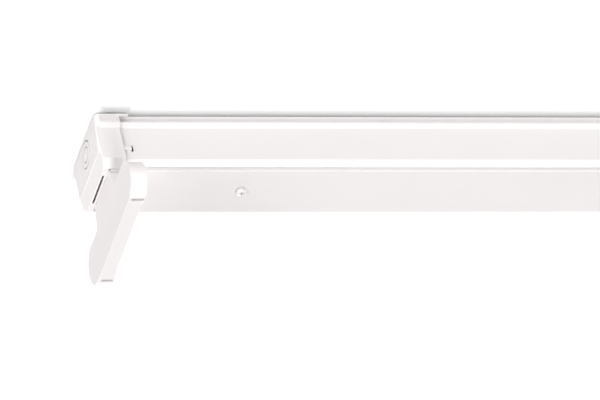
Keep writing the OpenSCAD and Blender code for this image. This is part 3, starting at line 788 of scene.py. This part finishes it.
@dataclass
class EndCap:
    """The moulded cap at one end: stepped rim, leaning end face with a knock-out, tongues and lips.

    The tools and tests are those of the left cap, and the right one is worked on as a mirror image.
    """

    end: End
    finishes: Finishes
    over: float = 0.001
    edge: float = 0.00035
    rim_y: float = 0.03695
    rim_marks: Pairs = ((0.0023, 0.0005), (0.0043, 0.0005), (0.0064, 0.0007))
    marks_end: float = 0.6162
    mark_depth: float = 0.0007
    mouth_x: float = 0.5997
    mouth_edge: float = 0.0009
    mouth_steps: int = 3
    mouth_slack: float = 0.0002
    mouth_y: float = 0.0338
    mouth_top: float = -0.013
    notch_l: float = 0.0025
    notch_depth: float = 0.0006
    notch_top: float = 0.0024
    notch_low: float = 0.0072
    face_x: float = 0.62036
    ring_z: float = -0.013
    ring_radii: tuple[float, ...] = (0.0118, 0.0068)
    ring_w: float = 0.0009
    ring_depth: float = 0.0021
    ring_over: float = 0.002
    ring_lean: float = 2.93
    slit_half: float = 0.0056
    slit_inset: float = 0.000027
    slit_depth: float = 0.00462
    ridge_x: float = 0.6215
    ridge_z: float = -0.0337
    facet_lean: float = 7.67
    facet_inset: float = 0.0004
    facet_block: Triple = (0.01, 0.05, 0.03)
    bead_h: float = 0.0006
    round_from_x: float = 0.5992
    rim_in_y: float = 0.03375
    rim_low_z: float = -0.0085
    rim_full_x: float = 0.6157
    face_from_x: float = 0.6189
    face_side_y: float = 0.0305
    face_side_z: float = -0.0125
    step_full: Pairs = ((0.03693, -0.0090), (0.03393, -0.0120), (0.0327, -0.01152), (0.0357, -0.00852))
    step_sections: tuple[tuple[float, Pairs], ...] = (
        (0.5997, step_full),
        (0.6157, step_full),
        (0.6185, ((0.0357, -0.0090), (0.0339, -0.0112), (0.0327, -0.0111), (0.0348, -0.0087))),
        (0.6198, ((0.0342, -0.0090), (0.0337, -0.0098), (0.0327, -0.0097), (0.0333, -0.0087))),
    )

    def rim_tools(self) -> list[Mesh]:
        """Cutting tools of the rim's moulded lines and of its set-back notch, on both sides.

        Returns:
            The tools.
        """
        cuts = [
            (self.marks_end, self.mouth_x + self.over, mark + tall / 2, mark - tall / 2, self.mark_depth)
            for mark, tall in self.rim_marks
        ]
        notch_x = (self.mouth_x + self.notch_l, self.mouth_x - self.over)
        cuts.append((*notch_x, self.notch_low, self.notch_top, self.notch_depth))
        tools = []
        for hand in (-1, 1):
            for outer, inner, low, high, depth in cuts:
                ys = sorted((hand * (self.rim_y - depth), hand * (self.rim_y + self.over)))
                tools.append(Workshop.box(Vector((-outer, ys[0], -low)), Vector((-inner, ys[1], -high))))
        return tools

    def ring_tools(self) -> list[Mesh]:
        """Cutting tools that deepen the knock-out's two rings, and cut them through above and below.

        Returns:
            The tools.
        """
        tools = []
        for radius in self.ring_radii:
            inner, outer = radius - self.ring_w, radius
            tools.append(Workshop.ring(inner, outer, -self.ring_depth, self.ring_over))
            inset = self.slit_inset
            slit = Workshop.ring(inner + inset, outer - inset, -self.slit_depth, self.ring_over)
            kept = radius - self.slit_half * radius / self.ring_radii[0]
            for far in (1, -1):
                half = slit.copy()
                cut = bmesh.ops.bisect_plane(
                    half,
                    geom=[*half.verts, *half.edges, *half.faces],
                    plane_co=(far * kept, 0, 0),
                    plane_no=(-far, 0, 0),
                    clear_outer=True,
                )
                rim = [e for e in cut["geom_cut"] if isinstance(e, bmesh.types.BMEdge)]
                bmesh.ops.holes_fill(half, edges=rim)
                bmesh.ops.recalc_face_normals(half, faces=half.faces)
                tools.append(half)
            slit.free()
        turn = Matrix.Rotation(math.radians(-90 - self.ring_lean), 4, "Y")
        place = Matrix.Translation((-self.face_x, 0, self.ring_z)) @ turn
        for bm in tools:
            bmesh.ops.transform(bm, matrix=place, verts=bm.verts)
        return tools

    def step_bars(self) -> list[Mesh]:
        """Slanted bars that close the step between the rim and the walls, one on each side.

        Returns:
            The bars.
        """
        bars = []
        for hand in (-1, 1):
            bm = bmesh.new()
            Workshop.skin(bm, [
                [bm.verts.new((-x, hand * y, z)) for y, z in section] for x, section in self.step_sections
            ])
            bmesh.ops.recalc_face_normals(bm, faces=bm.faces)
            bars.append(bm)
        return bars

    def facet_tool(self) -> Mesh:
        """Cutting tool that sets the slanted facet back and leaves a fine bead along the ridge.

        Returns:
            The tool.
        """
        out, half, down = self.facet_block
        bm = Workshop.box(Vector((-out, -half, -down)), Vector((self.facet_inset, half, -self.bead_h)))
        lean = Matrix.Rotation(math.radians(-self.facet_lean), 4, "Y")
        place = Matrix.Translation((-self.ridge_x, 0, self.ridge_z)) @ lean
        bmesh.ops.transform(bm, matrix=place, verts=bm.verts)
        return bm

    def face_left(self, bm: Mesh) -> None:
        """Mirrors the right cap's mesh to the left end, or back again.

        Args:
            bm: The mesh to change.
        """
        if self.end is End.RIGHT:
            bmesh.ops.transform(bm, matrix=Matrix.Scale(-1, 4, (1, 0, 0)), verts=bm.verts)
            bmesh.ops.reverse_faces(bm, faces=bm.faces)

    def at_mouth(self, place: Vector) -> bool:
        """Whether an edge with this middle is an outer edge of the mouth, below the rim."""
        near = abs(abs(place.x) - self.mouth_x) < self.mouth_slack
        return near and abs(place.y) > self.mouth_y and place.z < self.mouth_top

    def rounded_here(self, place: Vector) -> bool:
        """Whether an edge is rounded: those of the rim and of the end face.

        Args:
            place: The edge's middle.

        Returns:
            True for an edge to round.
        """
        x, y = abs(place.x), abs(place.y)
        on_rim = y > self.rim_in_y and (place.z > self.rim_low_z or x < self.rim_full_x)
        on_face = x > self.face_from_x and (y < self.face_side_y or place.z < self.face_side_z)
        return x > self.round_from_x and (on_rim or on_face)

    def build(self) -> None:
        """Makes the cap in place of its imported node."""
        node = f"end_cap_{self.end.value}"
        packed = Workshop.mesh_of(node)
        self.face_left(packed)
        obj = Workshop.object_of(f"cap_{self.end.value}", packed)
        Workshop.cut(obj, self.step_bars(), "UNION")
        Workshop.cut(obj, [*self.rim_tools(), *self.ring_tools(), self.facet_tool()])
        bm = Workshop.opened(obj)
        Workshop.merge_flat(bm)
        Workshop.round_edges(bm, self.mouth_edge, self.at_mouth, self.mouth_steps)
        Workshop.round_edges(bm, self.edge, self.rounded_here)
        self.face_left(bm)
        bm.to_mesh(obj.data)
        bm.free()
        Workshop.finish(obj, node, self.finishes.plastic, node)


@dataclass
class Lampholder:
    """The twin lampholder at one end: shell, cover, contact springs and two rotors."""

    end: End
    finishes: Finishes
    slack: float = 0.0001
    outer_x: float = 0.6137
    outer_edge: float = 0.0009
    outer_steps: int = 3
    collar_edge: float = 0.0004
    tray_z: float = -0.0505
    head_edge: float = 0.003
    head_steps: int = 5
    head_top_z: float = -0.0402
    head_y: float = 0.0249
    drum_edge: float = 0.0002
    drum_face_x: float = 0.6005
    lobe_y: float = 0.0525
    lobe_z: float = -0.0829
    groove_r: float = 0.0088
    groove_w: float = 0.0008
    groove_depth: float = 0.0005
    groove_over: float = 0.002

    def on_head(self, place: Vector) -> bool:
        """Whether an edge with this middle is at the top of the head inside the tray."""
        return place.z > self.head_top_z - self.slack and abs(place.y) > self.head_y - self.slack

    def on_outer_face(self, place: Vector) -> bool:
        """Whether an edge with this middle is on the outer face, below the tray."""
        return abs(place.x) > self.outer_x - self.slack and place.z < self.tray_z - self.slack

    def build_shell(self) -> None:
        """Makes the outer shell with soft outer edges."""
        node = f"lampholder_shell_{self.end.value}"
        bm = Workshop.mesh_of(node)
        Workshop.round_edges(bm, self.head_edge, self.on_head, self.head_steps)
        Workshop.round_edges(bm, self.outer_edge, self.on_outer_face, self.outer_steps)
        obj = Workshop.object_of(f"holder_shell_{self.end.value}", bm)
        Workshop.finish(obj, "gear_tray", self.finishes.plastic, node)

    def build_rotor(self, side: Side) -> None:
        """Makes one rotor drum with a ring groove in its face.

        Args:
            side: The lamp side that it is on.
        """
        node = f"rotor_{self.end.value}_{side.value}"
        sign = self.end.sign
        obj = Workshop.object_of(f"drum_{self.end.value}_{side.value}", Workshop.mesh_of(node))
        groove = Workshop.ring(self.groove_r - self.groove_w, self.groove_r, -self.groove_over, self.groove_depth)
        turn = Matrix.Rotation(math.radians(90 * sign), 4, "Y")
        axis = Vector((sign * self.drum_face_x, side.sign * self.lobe_y, self.lobe_z))
        bmesh.ops.transform(groove, matrix=Matrix.Translation(axis) @ turn, verts=groove.verts)
        Workshop.cut(obj, [groove])
        bm = Workshop.opened(obj)
        Workshop.round_edges(bm, self.drum_edge, lambda p: abs(p.x) < self.drum_face_x + self.slack)
        bm.to_mesh(obj.data)
        bm.free()
        Workshop.finish(obj, node, self.finishes.rotor, node)

    def build(self) -> None:
        """Makes the whole lampholder."""
        self.build_shell()
        node, piece = f"lampholder_cover_{self.end.value}", f"holder_cover_{self.end.value}"
        Workshop.rounded_node(node, piece, "gear_tray", self.finishes.plastic, self.collar_edge)
        for side in Side:
            self.build_rotor(side)
        Workshop.paint_node(f"contact_springs_{self.end.value}", self.finishes.brass)


@dataclass
class CoverScrew:
    """A domed screw with a cross recess and a rolled thread, in the tray's dimple."""

    end: End
    finishes: Finishes
    place_x: float = 0.4971
    seat_z: float = -0.0487
    head_r: float = 0.0041
    head_h: float = 0.004
    rim_h: float = 0.0026
    rim_corner: float = 0.0003
    dome_steps: int = 12
    head_around: int = 72
    core_r: float = 0.00172
    crest_r: float = 0.00199
    pitch: float = 0.0007
    reach: float = 0.009
    thread_around: int = 32
    thread_rows: int = 8
    recess_w: float = 0.001
    recess_l: float = 0.0042
    recess_depth: float = 0.002

    def head(self) -> Mesh:
        """The domed head with a rounded rim.

        Returns:
            The turned solid.
        """
        profile = [(0.0, -self.head_h)]
        dome = self.head_h - self.rim_h
        for i in range(1, self.dome_steps + 1):
            a = math.radians(90 * i / self.dome_steps)
            profile.append((self.head_r * math.sin(a), -self.rim_h - dome * math.cos(a)))
        profile += [(self.head_r, -self.rim_corner), (self.head_r - self.rim_corner, 0.0), (0.0, 0.0)]
        return Workshop.turned(profile, self.head_around)

    def thread(self) -> Mesh:
        """The shank, with a helical ridge that rises one pitch a turn.

        Returns:
            The closed mesh.
        """
        bm = bmesh.new()
        around = self.thread_around
        rows = int(self.reach / self.pitch * self.thread_rows)
        rings = []
        for j in range(rows + 1):
            height = self.reach * j / rows
            fade = min(1.0, (self.reach - height) / (2 * self.pitch), height / self.pitch)
            ring = []
            for i in range(around):
                phase = (height / self.pitch - i / around) % 1.0
                ridge = 1 - abs(2 * phase - 1)
                r = self.core_r + (self.crest_r - self.core_r) * ridge * max(0.0, fade)
                a = 2 * math.pi * i / around
                ring.append(bm.verts.new((r * math.cos(a), r * math.sin(a), height)))
            rings.append(ring)
        Workshop.skin(bm, rings)
        return bm

    def build(self) -> None:
        """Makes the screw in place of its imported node."""
        node = f"cover_screw_{self.end.value}"
        place = Matrix.Translation((self.end.sign * self.place_x, 0, self.seat_z))
        head = Workshop.object_of(f"screw_head_{self.end.value}", self.head())
        arm, wide = self.recess_l / 2, self.recess_w / 2
        floor = -self.head_h + self.recess_depth
        Workshop.cut(head, [
            Workshop.box(Vector((-x, -y, -2 * self.head_h)), Vector((x, y, floor)))
            for x, y in ((arm, wide), (wide, arm))
        ])
        head.data.transform(place)
        Workshop.finish(head, node, self.finishes.screw, node)
        shank = Workshop.object_of(f"screw_thread_{self.end.value}", self.thread())
        shank.data.transform(place)
        Workshop.finish(shank, node, self.finishes.zinc)


@dataclass
class Spine:
    """The folded channel on the ceiling, with what is fixed inside it."""

    finishes: Finishes
    bracket_edge: float = 0.0002
    grommet_edge: float = 0.0004
    plug_edge: float = 0.0003
    stud_edge: float = 0.0002

    def build(self) -> None:
        """Makes the channel's pieces."""
        fin = self.finishes
        Workshop.paint_node("spine", fin.steel)
        for end in End:
            node, piece = f"screw_bracket_{end.value}", f"bracket_{end.value}"
            Workshop.rounded_node(node, piece, "spine", fin.zinc, self.bracket_edge)
        Workshop.rounded_node("cable_grommet", "grommet", "spine", fin.rubber, self.grommet_edge)
        Workshop.rounded_node("blanking_plug", "plug", "spine", fin.grey, self.plug_edge)
        Workshop.rounded_node("earth_screw", "earth_stud", "spine", fin.brass, self.stud_edge)


@dataclass
class GearTray:
    """The flat steel tray that closes the spine, with the wires' clips."""

    finishes: Finishes
    screw_x: float = 0.4971
    dimple_r: float = 0.0095
    shoulder: float = 0.0006
    shoulder_steps: int = 3
    under_z: float = -0.0502
    clip_edge: float = 0.0002

    def at_dimple(self, place: Vector) -> bool:
        """Whether an edge with this middle is round a screw's dimple, on the underside."""
        away = (abs(place.x) - self.screw_x) ** 2 + place.y ** 2
        return away < self.dimple_r ** 2 and place.z < self.under_z

    def build(self) -> None:
        """Makes the tray's pieces."""
        bm = Workshop.mesh_of("gear_tray")
        Workshop.round_edges(bm, self.shoulder, self.at_dimple, self.shoulder_steps)
        Workshop.finish(Workshop.object_of("tray", bm), "gear_tray", self.finishes.steel, "gear_tray")
        Workshop.rounded_node("wire_clips", "clips", "gear_tray", self.finishes.plastic, self.clip_edge)


@dataclass
class Ballast:
    """The electronic ballast: base, board, folded cover, connectors and nuts."""

    finishes: Finishes
    base_edge: float = 0.00015
    board_edge: float = 0.0003
    connector_edge: float = 0.0003
    nut_edge: float = 0.0002

    def build(self) -> None:
        """Makes the ballast's pieces."""
        fin = self.finishes
        Workshop.rounded_node("ballast_base", "base_plate", "gear_tray", fin.zinc, self.base_edge)
        Workshop.rounded_node("ballast_board", "board", "gear_tray", fin.board, self.board_edge)
        Workshop.paint_node("ballast_cover", fin.cover)
        for end in End:
            node, piece = f"ballast_connector_{end.value}", f"connector_{end.value}"
            Workshop.rounded_node(node, piece, "gear_tray", fin.cream, self.connector_edge)
        Workshop.rounded_node("ballast_nuts", "nuts", "gear_tray", fin.zinc, self.nut_edge)


@dataclass
class MainsParts:
    """The mains terminal with its clamps, and the wires inside the batten."""

    finishes: Finishes
    terminal_x: float = -0.338
    terminal_edge: float = 0.0004
    pole_pitch: float = 0.008
    shoulder_x: float = 0.0112
    shoulder_z: float = -0.0365
    wall_x: tuple[float, float] = (0.0076, 0.0144)
    wall_pitch: float = 0.00776
    wall_half: float = 0.0004
    wall_z: tuple[float, float] = (-0.0368, -0.0341)
    wall_edge: float = 0.00015
    clamp_r: float = 0.0021
    clamp_low: float = -0.0004
    clamp_rim: float = 0.0009
    clamp_top: float = 0.0012
    clamp_corner: float = 0.0002
    clamp_around: int = 40
    clamp_turns: tuple[int, int, int] = (23, 41, 17)
    slot_half: float = 0.00035
    slot_floor: float = 0.0004
    slot_over: float = 0.003
    wire_r: float = 0.0009
    row_y: tuple[float, ...] = (-0.02127, -0.02343, 0.02127, 0.02343)
    row_z: float = -0.04872
    entry_y: tuple[float, ...] = (-0.003, -0.009, 0.003, 0.009)
    entry_z: float = -0.04449
    start_x: float = 0.6037
    bend_x: float = 0.188
    bend_step: float = 0.0036
    bend_l: float = 0.016
    bend_reach: float = 0.012
    stop_x: float = 0.122
    mains_x: float = -0.330
    mains_z: float = -0.03925
    sag: float = 0.0016
    sag_swing: float = 0.3
    sag_steps: int = 24
    ferrule_x: float = 0.1294
    ferrule_around: int = 28
    ferrule: Pairs = (
        (0.00092, 0), (0.00128, 0), (0.00128, 0.0022), (0.0017, 0.0032), (0.00092, 0.0032), (0.00092, 0),
    )

    def clamp_screw(self) -> Mesh:
        """A small cheese-head screw with a slot.

        Returns:
            One closed mesh with its head up.
        """
        r, inner = self.clamp_r, self.clamp_r - self.clamp_corner
        profile = [(0, self.clamp_low), (r, self.clamp_low), (r, self.clamp_rim), (inner, self.clamp_top)]
        obj = Workshop.object_of("clamp", Workshop.turned([*profile, (0, self.clamp_top)], self.clamp_around))
        low = Vector((-2 * r, -self.slot_half, self.slot_floor))
        Workshop.cut(obj, [Workshop.box(low, Vector((2 * r, self.slot_half, self.slot_over)))])
        bm = bmesh.new()
        bm.from_mesh(obj.data)
        bpy.data.objects.remove(obj)
        return bm

    def build_terminal(self) -> None:
        """Makes the terminal block, the walls between its poles and its clamp screws."""
        fin = self.finishes
        Workshop.rounded_node("terminal_block", "terminal", "gear_tray", fin.cream, self.terminal_edge)
        walls, screws, screw = bmesh.new(), bmesh.new(), self.clamp_screw()
        first, step, other = self.clamp_turns
        foot, top = self.wall_z
        for hand in (-1, 1):
            near, far = sorted(self.terminal_x + hand * x for x in self.wall_x)
            for i in range(4):
                y = (i - 1.5) * self.wall_pitch
                wall = Workshop.box(Vector((near, y - self.wall_half, foot)), Vector((far, y + self.wall_half, top)))
                Workshop.round_edges(wall, self.wall_edge)
                Workshop.placed(walls, wall, Matrix.Identity(4))
                wall.free()
            for i in range(3):
                x, y = self.terminal_x + hand * self.shoulder_x, (i - 1) * self.pole_pitch
                turn = Matrix.Rotation(math.radians(first + step * i + other * hand), 4, "Z")
                Workshop.placed(screws, screw, Matrix.Translation((x, y, self.shoulder_z)) @ turn)
        screw.free()
        Workshop.finish(Workshop.object_of("terminal_walls", walls), "gear_tray", fin.cream)
        Workshop.finish(Workshop.object_of("terminal_screws", screws), "gear_tray", fin.zinc)
        Workshop.paint_node("terminal_contacts", fin.brass)

    def collar(self, bm: Mesh, ferrule: Mesh, end: End, y: float, z: float) -> None:
        """Adds one ferrule at the face of a ballast connector.

        Args:
            bm: The mesh that receives it.
            ferrule: The ferrule, standing on its narrow end.
            end: The end whose connector it is at.
            y: Place across the batten.
            z: Height.
        """
        turn = Matrix.Rotation(math.radians(90 * end.sign), 4, "Y")
        Workshop.placed(bm, ferrule, Matrix.Translation((end.sign * self.ferrule_x, y, z)) @ turn)

    def lamp_wires(self, end: End) -> Mesh:
        """The four wires from the ballast to one lampholder.

        Args:
            end: The lampholder's end.

        Returns:
            The closed tubes.
        """
        bm = bmesh.new()
        for i, (row, entry) in enumerate(zip(self.row_y, self.entry_y)):
            bend = self.bend_x - (i % 2) * self.bend_step
            corners = (
                (self.start_x, row, self.row_z),
                (bend, row, self.row_z),
                (bend - self.bend_l, entry, self.entry_z),
                (self.stop_x, entry, self.entry_z),
            )
            path = Workshop.bent([Vector((end.sign * x, y, z)) for x, y, z in corners], self.bend_reach)
            Workshop.tube(bm, path, self.wire_r)
        return bm

    def mains_wire(self, bm: Mesh, pole: int) -> None:
        """Adds one slightly sagging wire from the terminal to the ballast.

        Args:
            bm: The mesh that receives it.
            pole: The pole, from -1 to 1.
        """
        reach = -self.stop_x - self.mains_x
        drop = self.sag * (1 + self.sag_swing * pole)
        path = []
        for k in range(self.sag_steps + 1):
            u = k / self.sag_steps
            z = self.mains_z - drop * math.sin(math.pi * u) ** 2
            path.append(Vector((self.mains_x + reach * u, pole * self.pole_pitch, z)))
        Workshop.tube(bm, path, self.wire_r)

    def build_wires(self) -> None:
        """Makes the sheathed wires, and a ferrule where each enters the ballast."""
        fin = self.finishes
        ferrule = Workshop.turned(self.ferrule, self.ferrule_around)
        bmesh.ops.remove_doubles(ferrule, verts=ferrule.verts, dist=Workshop.point)
        collars = bmesh.new()
        for end in End:
            for entry in self.entry_y:
                self.collar(collars, ferrule, end, entry, self.entry_z)
            obj = Workshop.object_of(f"lamp_wires_{end.value}", self.lamp_wires(end))
            Workshop.finish(obj, "gear_tray", fin.white_wire, f"wires_{end.value}")
        bm = bmesh.new()
        for pole in (-1, 0, 1):
            self.mains_wire(bm, pole)
            self.collar(collars, ferrule, End.LEFT, pole * self.pole_pitch, self.mains_z)
        Workshop.finish(Workshop.object_of("mains_wires", bm), "gear_tray", fin.blue_wire, "wires_mains")
        ferrule.free()
        Workshop.finish(Workshop.object_of("ferrules", collars), "gear_tray", fin.grey)

    def build(self) -> None:
        """Makes the terminal and the wires."""
        self.build_terminal()
        self.build_wires()


@dataclass(frozen=True)
class Lamp:
    """A far soft lamp of the studio."""

    name: str
    towards: Triple
    energy: float
    spread: float

    def build(self) -> None:
        """Adds the lamp to the scene."""
        light = bpy.data.lights.new(self.name, "SUN")
        light.energy = self.energy
        light.angle = self.spread
        obj = bpy.data.objects.new(self.name, light)
        obj.rotation_euler = Vector(self.towards).to_track_quat("Z", "Y").to_euler()
        bpy.context.scene.collection.objects.link(obj)
        log.info("%s: lamp", self.name)


@dataclass
class Ceiling:
    """The pale ceiling that the batten hangs on, which only shows from below and carries a painted shadow beside the
    batten.
    """

    height: float = 0.0016
    half: float = 30.0
    hole_x: float = 0.607
    hole_y: float = 0.031
    albedo: float = 0.62
    # Painted shadow: within these distances of the batten's middle line the camera-only glow stays off or partly
    # off, so the dark band there is partly real shadow and partly painted.
    painted_shadow_start: float = 0.035
    painted_shadow_end: float = 0.0465
    lip_out: float = 0.0031
    lip_x: float = 0.5915
    end_start: float = 0.609
    end_stop: float = 0.6205
    glow: float = 0.5

    def material(self) -> Material:
        """Matt white, clear from above, that brightens for the camera away from the batten; the band left
        unbrightened along the batten and its caps is a painted shadow laid over the sheet's real shadow.

        Returns:
            The material.
        """
        sheet = NodeSheet("pale_ceiling")
        place = sheet.add("SeparateXYZ", {0: sheet.where})
        along = sheet.math("ABSOLUTE", place.outputs["X"])
        across = sheet.math("ABSOLUTE", place.outputs["Y"])
        lip = sheet.rise(along, self.lip_x - self.lip_out, self.lip_x, self.lip_out)
        # Painted shadow band beside the batten, pushed out over the caps' wider lips.
        beside = sheet.rise(sheet.math("SUBTRACT", across, lip), self.painted_shadow_start, self.painted_shadow_end, self.glow)
        # The painted shadow band ends past the end faces, where this glow rises.
        beyond = sheet.rise(along, self.end_start, self.end_stop, self.glow)
        seen = sheet.add("LightPath").outputs["Is Camera Ray"]
        bright = sheet.math("MULTIPLY", sheet.math("MAXIMUM", beside, beyond), seen)
        glow = sheet.add("Emission", {"Color": (1, 1, 1, 1), "Strength": bright})
        paint = sheet.add("BsdfDiffuse", {"Color": (self.albedo, self.albedo, self.albedo, 1)})
        lit = sheet.add("AddShader", {0: paint.outputs[0], 1: glow.outputs[0]})
        above = sheet.add("NewGeometry").outputs["Backfacing"]
        clear = sheet.add("BsdfTransparent").outputs[0]
        sides = sheet.add("MixShader", {0: above, 1: lit.outputs[0], 2: clear})
        sheet.feed(sheet.tree.nodes["Material Output"], {"Surface": sides.outputs[0]})
        sheet.tree.nodes.remove(sheet.surface)
        return sheet.material

    def build(self) -> None:
        """Makes the sheet, facing down, with a hole above the batten that lets light reach its top."""
        bm = bmesh.new()
        corners = [(-1, -1), (-1, 1), (1, 1), (1, -1)]
        outer = [bm.verts.new((x * self.half, y * self.half, self.height)) for x, y in corners]
        inner = [bm.verts.new((x * self.hole_x, y * self.hole_y, self.height)) for x, y in corners]
        for i in range(4):
            k = (i + 1) % 4
            bm.faces.new((outer[i], outer[k], inner[k], inner[i]))
        obj = Workshop.object_of("ceiling", bm)
        obj.data.materials.append(self.material())
        log.info("ceiling: stage")


@dataclass
class Studio:
    """Ceiling, soft light, plain surroundings and the camera.

    Three lamps shine from the near side and below, and three strips low beyond the left end light the
    end face. The fills light the sides that the photo doesn't show.
    """

    surroundings: float = 0.18
    front: tuple[Lamp, ...] = (
        Lamp("near_lamp", (-0.1, -0.97, -0.24), 0.6, 0.5),
        Lamp("key_lamp", (-0.03, -0.47, -0.88), 0.95, 0.35),
        Lamp("below_lamp", (0.0, -0.08, -1.0), 1.46, 0.5),
    )
    fills: tuple[Lamp, ...] = (
        Lamp("fill_lamp_end", (0.95, 0.25, -0.03), 0.9, 0.12),
        Lamp("fill_lamp_far", (0.15, 0.97, -0.03), 1.9, 0.12),
        Lamp("fill_lamp_top", (0.15, 0.25, 0.95), 2.0, 0.7),
    )
    strip_energy: float = 0.65
    strip_spread: float = 0.4
    strip_heights: tuple[float, ...] = (5.0, 11.0, 17.0)
    strip_plan: tuple[float, float] = (-0.876, -0.482)
    holder: Triple = (-0.6137, 0.0, -0.0493)
    aim_right: float = 0.1585
    aim_down: float = 0.0075
    camera_away: float = 9.0
    view_width: float = 0.48
    clip_start: float = 1.0
    clip_end: float = 100.0
    right: Triple = (0.951, -0.244, -0.191)
    up: Triple = (0.0, -0.616, 0.788)

    def lamps(self) -> list[Lamp]:
        """Every lamp of the studio.

        Returns:
            The front lamps, the fills and the strips.
        """
        strips = []
        for low in self.strip_heights:
            level, drop = math.cos(math.radians(low)), math.sin(math.radians(low))
            towards = (self.strip_plan[0] * level, self.strip_plan[1] * level, -drop)
            strips.append(Lamp(f"strip_lamp_{int(low)}", towards, self.strip_energy, self.strip_spread))
        return [*self.front, *self.fills, *strips]

    def world(self) -> None:
        """Plain surroundings: white where the camera sees them, softer as light."""
        world = bpy.data.worlds.new("surroundings")
        bpy.context.scene.world = world
        world.use_nodes = True
        tree = world.node_tree
        back = tree.nodes["Background"]
        back.inputs["Color"].default_value = (1, 1, 1, 1)
        path = tree.nodes.new("ShaderNodeLightPath")
        level = tree.nodes.new("ShaderNodeMapRange")
        level.inputs["To Min"].default_value = self.surroundings
        level.inputs["To Max"].default_value = 1.0
        tree.links.new(path.outputs["Is Camera Ray"], level.inputs["Value"])
        tree.links.new(level.outputs["Result"], back.inputs["Strength"])

    def camera(self) -> None:
        """A long lens that looks up at the left end from its near side."""
        right = Vector(self.right).normalized()
        up = Vector(self.up)
        up = (up - up.dot(right) * right).normalized()
        back = right.cross(up)
        target = Vector(self.holder) + right * self.aim_right - up * self.aim_down
        data = bpy.data.cameras.new("camera")
        data.lens = data.sensor_width * self.camera_away / self.view_width
        data.clip_start, data.clip_end = self.clip_start, self.clip_end
        obj = bpy.data.objects.new("camera", data)
        turn = Matrix((right, up, back)).transposed().to_4x4()
        obj.matrix_world = Matrix.Translation(target + back * self.camera_away) @ turn
        bpy.context.scene.collection.objects.link(obj)
        bpy.context.scene.camera = obj

    def build(self) -> None:
        """Sets up the studio."""
        Ceiling().build()
        self.world()
        for lamp in self.lamps():
            lamp.build()
        self.camera()
        bpy.context.scene.view_settings.view_transform = "Standard"


def main() -> None:
    """Builds every sub-assembly and the studio."""
    logging.basicConfig(level=logging.INFO, format="%(message)s")
    finishes = Finishes()
    Spine(finishes).build()
    GearTray(finishes).build()
    Ballast(finishes).build()
    MainsParts(finishes).build()
    for end in End:
        Lampholder(end, finishes).build()
        CoverScrew(end, finishes).build()
        EndCap(end, finishes).build()
    Studio().build()


if __name__ == "__main__":
    main()
